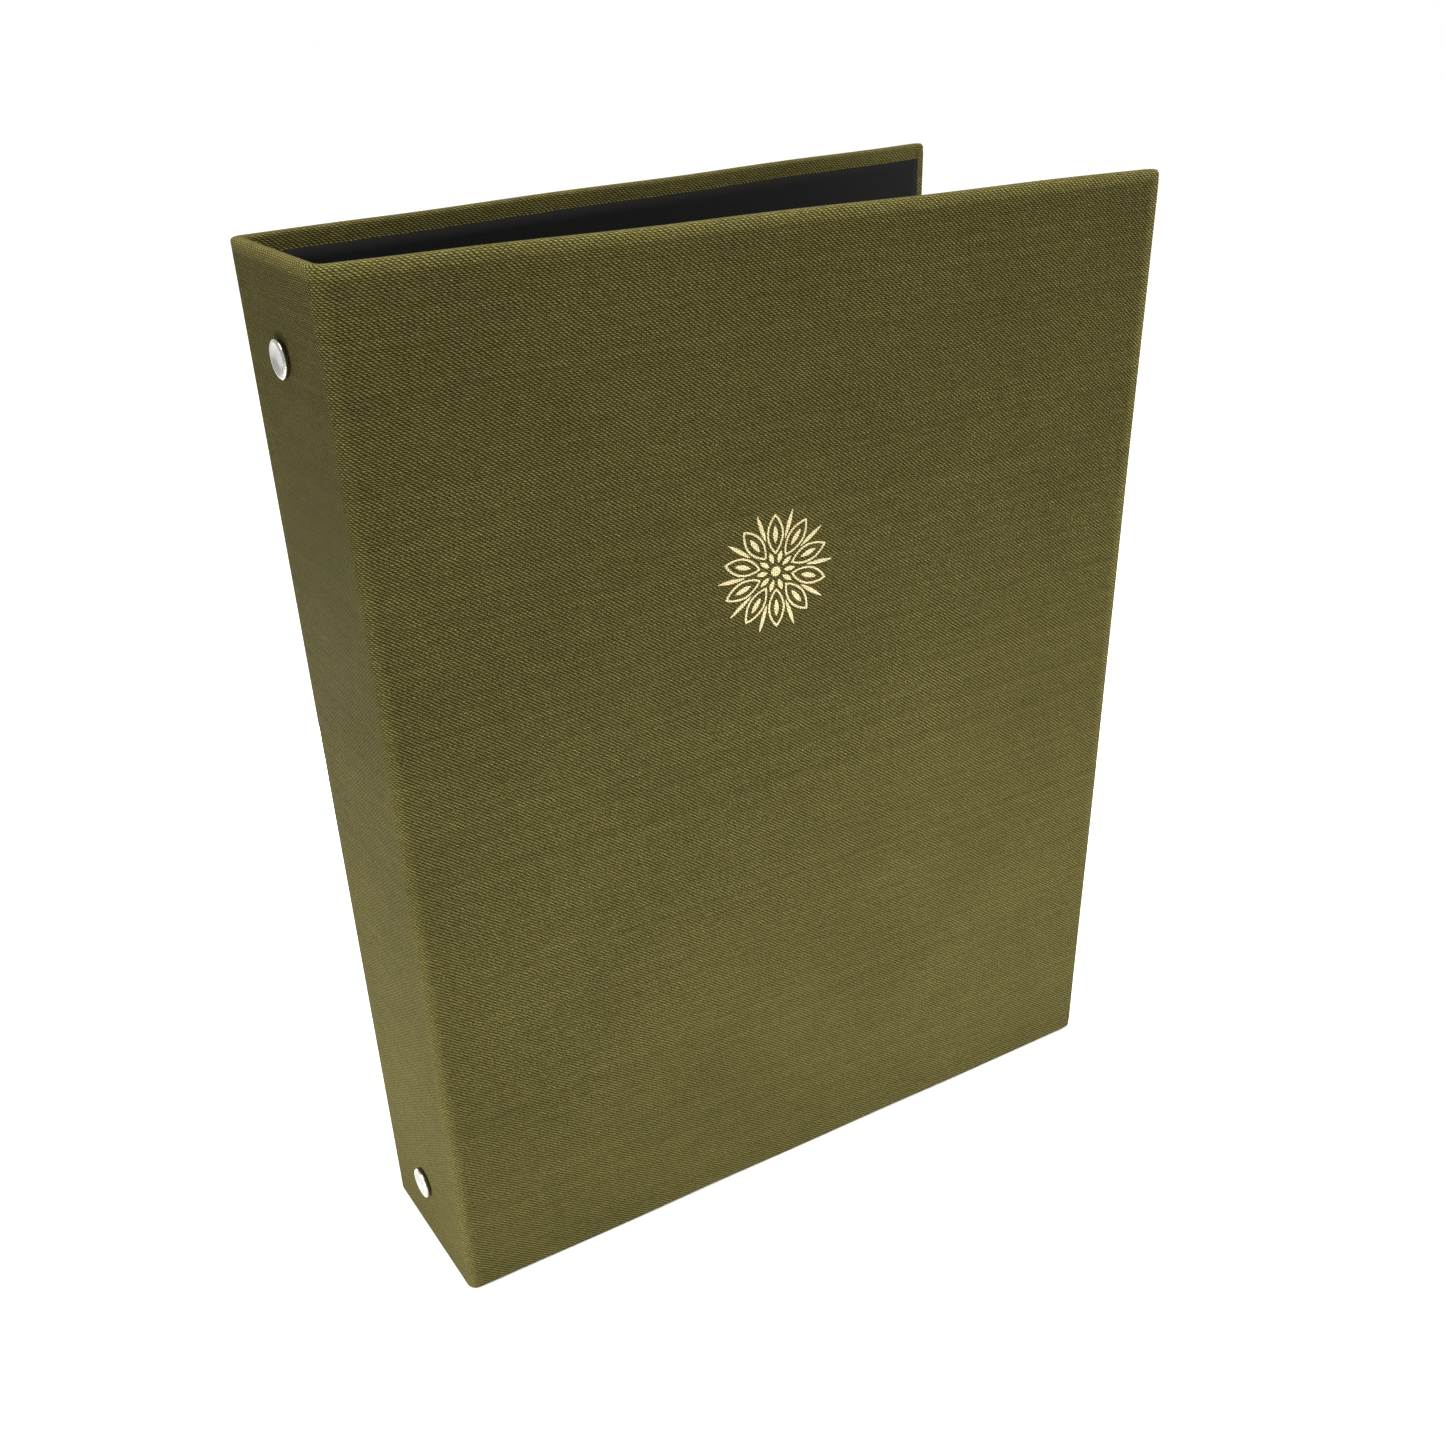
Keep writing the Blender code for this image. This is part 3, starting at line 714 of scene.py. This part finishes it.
class Look:
    """A material, with short ways to add the nodes that vary it."""

    def __init__(self, name, colour, roughness, metallic=0.0):
        self.material = bpy.data.materials.new(name)
        self.material.use_nodes = True
        self.tree = self.material.node_tree
        self.shader = self.tree.nodes["Principled BSDF"]
        self.set("Base Color", (*colour, 1.0))
        self.set("Roughness", roughness)
        self.set("Metallic", metallic)

    def set(self, socket, value):
        self.feed(self.shader.inputs[socket], value)

    def feed(self, socket, value):
        if isinstance(value, bpy.types.NodeSocket):
            self.tree.links.new(value, socket)
        else:
            socket.default_value = value

    def node(self, kind, **settings):
        made = self.tree.nodes.new(kind)
        for key, value in settings.items():
            setattr(made, key, value)
        return made

    def math(self, operation, a, b=0.0, c=0.0, clamp=False):
        made = self.node("ShaderNodeMath", operation=operation, use_clamp=clamp)
        for socket, value in zip(made.inputs, (a, b, c)):
            self.feed(socket, value)
        return made.outputs[0]

    def span(self, value, low, high, out_low=0.0, out_high=1.0):
        made = self.node("ShaderNodeMapRange", interpolation_type="SMOOTHSTEP")
        for key, item in zip(range(5), (value, low, high, out_low, out_high)):
            self.feed(made.inputs[key], item)
        return made.outputs[0]

    def coordinates(self):
        return self.node("ShaderNodeTexCoord").outputs["Object"]

    def scaled(self, vector, scale):
        made = self.node("ShaderNodeVectorMath", operation="MULTIPLY")
        self.feed(made.inputs[0], vector)
        made.inputs[1].default_value = scale
        return made.outputs[0]

    def vector(self, x, y, z=0.0):
        made = self.node("ShaderNodeCombineXYZ")
        for socket, value in zip(made.inputs, (x, y, z)):
            self.feed(socket, value)
        return made.outputs[0]

    def noise(self, vector, scale, detail=2.0, rough=0.5):
        made = self.node("ShaderNodeTexNoise")
        self.feed(made.inputs["Vector"], vector)
        made.inputs["Scale"].default_value = scale
        made.inputs["Detail"].default_value = detail
        made.inputs["Roughness"].default_value = rough
        return made.outputs["Fac"]

    def random(self, value, seed):
        made = self.node("ShaderNodeTexWhiteNoise", noise_dimensions="2D")
        self.feed(made.inputs["Vector"], self.vector(value, seed))
        return made.outputs["Value"]

    def ramp(self, value, stops):
        made = self.node("ShaderNodeValToRGB")
        elements = made.color_ramp.elements
        while len(elements) < len(stops):
            elements.new(0.5)
        for element, (place, colour) in zip(elements, stops):
            element.position = place
            element.color = (*colour, 1.0)
        self.feed(made.inputs["Fac"], value)
        return made.outputs["Color"]

    def mix(self, share, a, b, blend="MIX"):
        made = self.node("ShaderNodeMix", data_type="RGBA", blend_type=blend)
        self.feed(made.inputs["Factor"], share)
        for socket, value in zip(("A", "B"), (a, b)):
            if isinstance(value, tuple):
                value = (*value, 1.0)
            inputs = [i for i in made.inputs if i.name == socket and i.type == "RGBA"]
            self.feed(inputs[0], value)
        return [o for o in made.outputs if o.type == "RGBA"][0]

    def bump(self, height, distance, strength=1.0):
        made = self.node("ShaderNodeBump")
        made.inputs["Strength"].default_value = strength
        made.inputs["Distance"].default_value = distance
        self.feed(made.inputs["Height"], height)
        self.tree.links.new(made.outputs["Normal"], self.shader.inputs["Normal"])

    def weave(self):
        """A plain weave on the flat cloth.

        It gives the flat place, the height from 0 to 1, whether the weft is on top, a tint for each
        yarn, the hairs along the yarns, and patches along the weft.
        """
        flat = self.node("ShaderNodeUVMap", uv_map="cloth").outputs["UV"]
        parts = self.node("ShaderNodeSeparateXYZ")
        self.feed(parts.inputs[0], flat)
        warp_drift = self.noise(flat, 90.0)
        weft_drift = self.noise(self.scaled(flat, (1, 2.2, 1)), 140.0)
        u = self.math("MULTIPLY", parts.outputs[0], 1 / WARP_PITCH)
        v = self.math("MULTIPLY", parts.outputs[1], 1 / WEFT_PITCH)
        u = self.math("MULTIPLY_ADD", warp_drift, WARP_WANDER, u)
        v = self.math("MULTIPLY_ADD", weft_drift, WEFT_WANDER, v)
        i = self.math("ROUND", u)
        j = self.math("ROUND", v)
        fu = self.math("SUBTRACT", u, i)
        fv = self.math("SUBTRACT", v, j)

        def yarn(along, index, off, seed, fullness, lift, length):
            """A yarn's height and its own random value.

            A length above 1 keeps it on top for longer than it is under.
            """
            thick = self.random(index, seed)
            phase = self.math("ADD", along, index)
            phase = self.math("MULTIPLY_ADD", thick, YARN_STRAY, phase)
            wave = self.math("COSINE", self.math("MULTIPLY", phase, math.pi))
            wave = self.math("MULTIPLY_ADD", wave, length, length - 1)
            wave = self.math("MINIMUM", wave, 1.0)
            apart = self.math("MULTIPLY", index, YARN_APART)
            slub = self.noise(self.vector(along, apart), 0.11)
            size = self.math("MULTIPLY_ADD", slub, YARN_SLUB, fullness)
            size = self.math("MULTIPLY_ADD", thick, YARN_THICKNESS, size)
            share = self.math("DIVIDE", self.math("ABSOLUTE", off), size)
            round_ = self.math("SUBTRACT", 1.0, self.math("MULTIPLY", share, share))
            round_ = self.math("SQRT", self.math("MAXIMUM", round_, 0.0))
            height = self.math("MULTIPLY", round_, YARN_ROUND)
            height = self.math("ADD", height, self.math("MULTIPLY", wave, lift))
            return height, thick

        tilted = self.math("MULTIPLY_ADD", fv, FLOAT_TILT, u)
        weft, weft_tint = yarn(
            tilted, j, fv, seed=3.0, fullness=0.31, lift=0.34, length=1.7
        )
        shifted = self.math("ADD", i, 1.0)
        warp, warp_tint = yarn(
            v, shifted, fu, seed=11.0, fullness=0.32, lift=0.12, length=1.0
        )
        top = self.math("GREATER_THAN", weft, warp)
        height = self.math("MAXIMUM", weft, warp)
        height = self.math("MAXIMUM", height, 0.0, clamp=True)
        tint = self.math("MULTIPLY", self.math("SUBTRACT", weft_tint, warp_tint), top)
        tint = self.math("ADD", tint, warp_tint)
        hairs_h = self.noise(self.vector(u, self.math("MULTIPLY", v, 4.0)), 0.8, 3.0, 0.7)
        hairs_v = self.noise(self.vector(self.math("MULTIPLY", u, 7.0), v), 1.1, 3.0, 0.7)
        hairs = self.math("MULTIPLY", self.math("SUBTRACT", hairs_h, hairs_v), top)
        hairs = self.math("ADD", hairs, hairs_v)
        apart = self.math("MULTIPLY", j, YARN_APART)
        patch = self.noise(self.vector(tilted, apart), 0.6)
        return flat, height, top, tint, hairs, patch


# ---------------------------------------------------------------- materials


def book_cloth():
    look = Look("book_cloth", (0.1, 0.09, 0.04), 0.82)
    flat, height, top, tint, hairs, patch = look.weave()
    # Painted shade in the gaps between the yarns and painted highlight on their crowns, from their height
    crown = look.math("SUBTRACT", height, GAP_HEIGHT)
    body = look.math("MULTIPLY_ADD", hairs, HAIR_SHARE, crown)
    colour = look.ramp(
        body,
        (
            (0.08, (0.0040, 0.0030, 0.0001)),
            (0.34, (0.0184, 0.0153, 0.0007)),
            (0.62, (0.0398, 0.0345, 0.0077)),
            (0.95, (0.0850, 0.0760, 0.0320)),
        ),
    )
    tone = look.math("MULTIPLY_ADD", tint, 0.14, 0.93)
    cloudy = look.noise(flat, 22.0, 3.0)
    tone = look.math("MULTIPLY", tone, look.span(cloudy, 0.3, 0.7, 0.94, 1.06))
    tone = look.math("MULTIPLY", tone, look.span(patch, 0.25, 0.75, 0.74, 1.22))
    # Painted shade: the warp floats are drawn darker than the weft floats
    tone = look.math("MULTIPLY", tone, look.span(top, 0.0, 1.0, WARP_PAINTED_SHADE, 1.0))
    # Lighter by the mask of wear and painted light: painted highlight on the edges and folds, painted
    # light on the turn-ins
    lightening = look.node("ShaderNodeAttribute", attribute_name="wear").outputs["Fac"]
    tone = look.math("MULTIPLY", tone, look.math("MULTIPLY_ADD", lightening, LIGHTENING_GAIN, 1.0))
    tone_colour = look.node("ShaderNodeCombineColor")
    for socket in tone_colour.inputs:
        look.feed(socket, tone)
    colour = look.mix(1.0, colour, tone_colour.outputs[0], "MULTIPLY")
    look.set("Base Color", colour)
    look.set("Specular IOR Level", 0.012)
    look.set("Roughness", look.span(height, 0.0, 1.0, 0.92, 0.74))
    relief = look.math("MULTIPLY_ADD", hairs, 0.25, height)
    look.bump(relief, 0.00022, 0.9)
    return look.material


def lining_paper():
    look = Look("lining_paper", (0.016, 0.015, 0.014), 0.8)
    place = look.node("ShaderNodeUVMap", uv_map="cloth").outputs["UV"]
    fibres = look.noise(look.scaled(place, (1, 2.5, 1)), 1400.0, 4.0, 0.7)
    cloudy = look.noise(place, 45.0, 4.0)
    look.set(
        "Base Color",
        look.ramp(
            look.math("MULTIPLY_ADD", cloudy, 0.5, look.math("MULTIPLY", fibres, 0.5)),
            ((0.3, (0.0018, 0.0017, 0.0016)), (0.7, (0.0052, 0.0050, 0.0047))),
        ),
    )
    look.set("Roughness", look.span(cloudy, 0.3, 0.7, 0.74, 0.80))
    look.set("Specular IOR Level", 0.12)
    look.bump(fibres, 0.00006, 0.6)
    return look.material


def greyboard():
    look = Look("greyboard", (0.3, 0.28, 0.25), 0.95)
    place = look.coordinates()
    fibres = look.noise(look.scaled(place, (3, 1, 1)), 900.0, 4.0, 0.7)
    look.set(
        "Base Color",
        look.ramp(fibres, ((0.3, (0.22, 0.205, 0.18)), (0.7, (0.36, 0.34, 0.30)))),
    )
    look.bump(fibres, 0.0001, 0.6)
    return look.material


def nickel():
    look = Look("nickel_plate", (0.37, 0.36, 0.33), 0.12, 1.0)
    place = look.coordinates()
    smear = look.noise(place, 160.0, 3.0)
    scuffs = look.noise(look.scaled(place, (1, 1, 9)), 900.0, 3.0, 0.7)
    mixed = look.math("MULTIPLY_ADD", smear, 0.6, look.math("MULTIPLY", scuffs, 0.4))
    look.set("Roughness", look.span(mixed, 0.35, 0.68, 0.05, 0.16))
    look.set(
        "Base Color",
        look.ramp(smear, ((0.3, (0.34, 0.33, 0.30)), (0.7, (0.40, 0.388, 0.356)))),
    )
    look.bump(scuffs, 0.00001, 0.4)
    return look.material


def steel():
    look = Look("plain_steel", (0.5, 0.5, 0.5), 0.34, 1.0)
    place = look.coordinates()
    brushed = look.noise(look.scaled(place, (14, 14, 1)), 320.0, 4.0, 0.7)
    spangle = look.noise(place, 260.0, 2.0)
    look.set(
        "Base Color",
        look.ramp(spangle, ((0.35, (0.44, 0.44, 0.45)), (0.65, (0.56, 0.56, 0.57)))),
    )
    look.set("Roughness", look.span(brushed, 0.3, 0.7, 0.26, 0.46))
    look.bump(brushed, 0.00002, 0.5)
    return look.material


def gold_foil():
    """Foil that only takes on the yarns' crowns, so the cloth shows in the gaps."""
    look = Look("gold_foil", (0.8, 0.62, 0.28), 0.3, 1.0)
    _, height, _, tint, hairs, _ = look.weave()
    crown = look.math("SUBTRACT", height, GAP_HEIGHT)
    body = look.math("MULTIPLY_ADD", hairs, HAIR_SHARE, crown)
    body = look.math("MULTIPLY_ADD", tint, 0.12, body)
    taken = look.span(body, 0.20, 0.58)
    look.set("Base Color", look.mix(taken, (0.04, 0.032, 0.008), (0.24, 0.198, 0.102)))
    look.set("Metallic", look.math("MULTIPLY", taken, 0.85))
    look.set("Roughness", look.span(height, 0.0, 1.0, 0.6, 0.42))
    look.bump(height, 0.00015, 0.8)
    return look.material


def floor_look():
    look = Look("floor", (0.94, 0.94, 0.935), 0.6)
    speckle = look.noise(look.coordinates(), 3.0, 3.0)
    look.set(
        "Base Color",
        look.ramp(speckle, ((0.3, (0.955, 0.955, 0.95)), (0.7, (0.97, 0.97, 0.965)))),
    )
    look.set("Specular IOR Level", 0.2)
    return look.material


LOOKS = {
    "book_cloth": book_cloth(),
    "lining_paper": lining_paper(),
    "greyboard": greyboard(),
    "nickel_plate": nickel(),
    "plain_steel": steel(),
    "gold_foil": gold_foil(),
}


def dress(obj, slot):
    obj.data.materials.clear()
    obj.data.materials.append(LOOKS[slot])
    return obj


# ---------------------------------------------------------------- CAD nodes that stay


def smooth_by_angle():
    """A node group that welds a CAD mesh and shades it smooth below a set angle."""
    tree = bpy.data.node_groups.new("smooth_by_angle", "GeometryNodeTree")
    for way in ("INPUT", "OUTPUT"):
        tree.interface.new_socket(
            "Geometry", in_out=way, socket_type="NodeSocketGeometry"
        )
    nodes = [
        tree.nodes.new(kind)
        for kind in (
            "NodeGroupInput",
            "GeometryNodeMergeByDistance",
            "GeometryNodeSetShadeSmooth",
            "GeometryNodeSetShadeSmooth",
            "NodeGroupOutput",
        )
    ]
    weld, faces, edges = nodes[1:4]
    weld.inputs["Distance"].default_value = 0.000002
    faces.domain = "FACE"
    edges.domain = "EDGE"
    edges.inputs["Shade Smooth"].default_value = False
    angle = tree.nodes.new("GeometryNodeInputMeshEdgeAngle")
    sharp = tree.nodes.new("FunctionNodeCompare")
    sharp.operation = "GREATER_THAN"
    sharp.inputs[1].default_value = math.radians(32)
    tree.links.new(angle.outputs["Unsigned Angle"], sharp.inputs[0])
    tree.links.new(sharp.outputs[0], edges.inputs["Selection"])
    for first, second in zip(nodes, nodes[1:]):
        geometry = [s for s in first.outputs if s.type == "GEOMETRY"][0]
        tree.links.new(
            geometry, [s for s in second.inputs if s.type == "GEOMETRY"][0]
        )
    return tree


def dress_cad():
    tree = smooth_by_angle()
    slots = {
        "board": "greyboard",
        "housing": "nickel_plate",
        "rivet": "nickel_plate",
        "ring": "nickel_plate",
        "lever": "nickel_plate",
        "pin": "plain_steel",
        "blade": "plain_steel",
    }
    for name, obj in frame["nodes"].items():
        kind = [word for word in slots if word in name.split("_")]
        if not kind:
            continue
        dress(obj, slots[kind[-1]])
        step = obj.modifiers.new("smooth", "NODES")
        step.node_group = tree


# ---------------------------------------------------------------- pieces


def build_case():
    """Two cloth sheets, which meet on the spine's middle line, and two sheets of lining paper."""
    for label, half in HALVES.items():
        cloth = dress(case_cloth(label), "book_cloth")
        half.blend(cloth)
        nodes = [f"{label}_cover_cloth", f"{label}_hinge_cloth"]
        paper = dress(lining(label), "lining_paper")
        half.blend(paper)
        papers = [f"{label}_liner", f"{label}_hinge_lining"]
        if label == "front":
            nodes.append("spine_cloth")
            papers.append("spine_liner")
        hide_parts(*nodes)
        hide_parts(*papers)


def build_rivets():
    for label in ("upper", "lower"):
        low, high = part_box(f"{label}_rivet")
        centre = (low + high) / 2
        clinch = high.x - CLINCH_HEIGHT
        head = through([(SPINE_X - off, radius) for off, radius in RIVET_HEAD])
        tail = through([(clinch + off, radius) for off, radius in RIVET_CLINCH])
        shank = [(x, RIVET_SHANK_RADIUS) for x in (SPINE_X - RIVET_SHANK_SINK, clinch)]
        profile = [*head, *shank, *tail]
        made = dress(lathe(f"{label}_rivet_turned", profile, centre), "nickel_plate")
        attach(made, "spine")
        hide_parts(f"{label}_rivet")


def build_rings():
    """Each half ring follows its CAD wire: an arc from the tip, then an S into the straight shank."""
    for label, side in (("front", -1), ("back", 1)):
        for number in range(1, RINGS_PER_SIDE + 1):
            node = f"{label}_half_ring_{number}"
            low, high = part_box(node)
            z = (low.z + high.z) / 2
            wire = (high.z - low.z) / 2
            made = tube(f"{label}_ring_{number}", ring_path(side, z), wire)
            dress(made, "nickel_plate")
            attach(made, f"{label}_wing")
            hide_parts(node)


def ring_path(side, z):
    first = TIP_GAP / RING_RADIUS
    points = []
    for i in range(RING_STEPS + 1):
        turn = first + (RING_LAST_TURN - first) * i / RING_STEPS
        points.append(
            Vector(
                (
                    RING_X + RING_RADIUS * math.cos(turn),
                    side * RING_RADIUS * math.sin(turn),
                    z,
                )
            )
        )
    leave = points[-1]
    heading = Vector((-math.sin(RING_LAST_TURN), side * math.cos(RING_LAST_TURN), 0))
    arrive = Vector((SHANK_TOP, side * SHANK_Y, z))
    pull = (leave - arrive).length / 3
    knots = (leave, leave + pull * heading, arrive + Vector((pull, 0, 0)), arrive)
    for i in range(1, SHANK_STEPS + 1):
        t = i / SHANK_STEPS
        weights = ((1 - t) ** 3, 3 * t * (1 - t) ** 2, 3 * t * t * (1 - t), t**3)
        points.append(sum((w * k for w, k in zip(weights, knots)), Vector()))
    points.append(Vector((SHANK_FOOT, side * SHANK_Y, z)))
    return points


def build_ornament():
    """A generic rosette: two rings of leaves round a small eye, in thin foil on the cloth."""
    half = HALVES["front"]
    skin = Skin(half)
    centre_s = half.on_cover(ORNAMENT_X)

    def add(x, z):
        place = (centre_s + x, ORNAMENT_Z + z)
        return skin.add(*place, -FOIL_LIFT / PANEL, place)

    def ribbon(inner, outer):
        rows = [[add(*p) for p in inner], [add(*p) for p in outer]]
        rows = [[*row, row[0]] for row in rows]
        skin.lattice(rows)

    def filled(outline):
        """Fans an outline from its own middle."""
        count = len(outline)
        middle_x = sum(x for x, _ in outline) / count
        middle_z = sum(z for _, z in outline) / count
        middle = add(middle_x, middle_z)
        ring = [add(*p) for p in outline]
        for k in range(count):
            skin.faces.append((middle, ring[k], ring[(k + 1) % count]))

    def leaf(base, tip, width, steps=14):
        """Both sides of a pointed leaf along +x, as (x, y)."""
        up = []
        for i in range(steps + 1):
            t = i / steps
            up.append((base + (tip - base) * t, width * math.sin(math.pi * t) ** 0.8))
        return [*up, *((x, -y) for x, y in reversed(up[1:-1]))]

    def turned(points, angle):
        c, s = math.cos(angle), math.sin(angle)
        return [(x * c - y * s, x * s + y * c) for x, y in points]

    for k in range(PETALS):
        angle = math.tau * k / PETALS + math.pi / 2
        ribbon(turned(leaf(*PETAL_INNER), angle), turned(leaf(*PETAL_OUTER), angle))
        filled(turned(leaf(*PETAL_HEART), angle))
        between = angle + math.pi / PETALS
        filled(turned(leaf(*SPIKE), between))
        filled(turned(leaf(*SMALL_LEAF), between))
    eye_turns = [math.tau * k / EYE_SIDES for k in range(EYE_SIDES)]
    filled([(EYE_RADIUS * math.cos(t), EYE_RADIUS * math.sin(t)) for t in eye_turns])
    made = skin.made("foil_rosette", Vector((0, -1, 0)))
    bm = bmesh.new()
    bm.from_mesh(made.data)
    for face in bm.faces:
        if face.normal.y > 0:
            face.normal_flip()
    bm.to_mesh(made.data)
    bm.free()
    dress(made, "gold_foil")
    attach(made, "front_cover")
    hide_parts("foil_ornament")


# ---------------------------------------------------------------- stage


def build_camera():
    data = bpy.data.cameras.new("camera")
    data.lens = CAMERA_LENS
    data.sensor_width = 36.0
    data.shift_y = CAMERA_SHIFT
    data.clip_start, data.clip_end = 0.01, 50
    camera = new_object("camera", data)
    turn = (
        Matrix.Rotation(-CAMERA_AZIMUTH, 4, "Z")
        @ Matrix.Rotation(math.pi / 2 + CAMERA_PITCH, 4, "X")
        @ Matrix.Rotation(CAMERA_ROLL, 4, "Z")
    )
    camera.matrix_world = Matrix.Translation(CAMERA_PLACE) @ turn
    bpy.context.scene.camera = camera


def area_light(name, place, target, size, power):
    data = bpy.data.lights.new(name, "AREA")
    data.shape = "RECTANGLE"
    data.size, data.size_y = size
    data.energy = power
    light = new_object(name, data)
    light.location = place
    light.visible_camera = False
    aim = Vector(target) - Vector(place)
    light.rotation_euler = aim.to_track_quat("-Z", "Y").to_euler()


def build_stage():
    bm = bmesh.new()
    bmesh.ops.create_grid(bm, x_segments=8, y_segments=8, size=FLOOR_HALF)
    floor = from_bmesh("floor", bm)
    floor.location.z = -FLOOR_DROP
    floor.data.materials.append(floor_look())
    world = bpy.data.worlds.new("studio")
    bpy.context.scene.world = world
    world.use_nodes = True
    background = world.node_tree.nodes["Background"]
    background.inputs["Color"].default_value = (1.0, 1.0, 1.0, 1.0)
    background.inputs["Strength"].default_value = SURROUND
    for light in LIGHTS:
        area_light(*light)
    bpy.context.scene.view_settings.view_transform = "Standard"


build_camera()
dress_cad()
build_case()
build_rivets()
build_rings()
build_ornament()
build_stage()
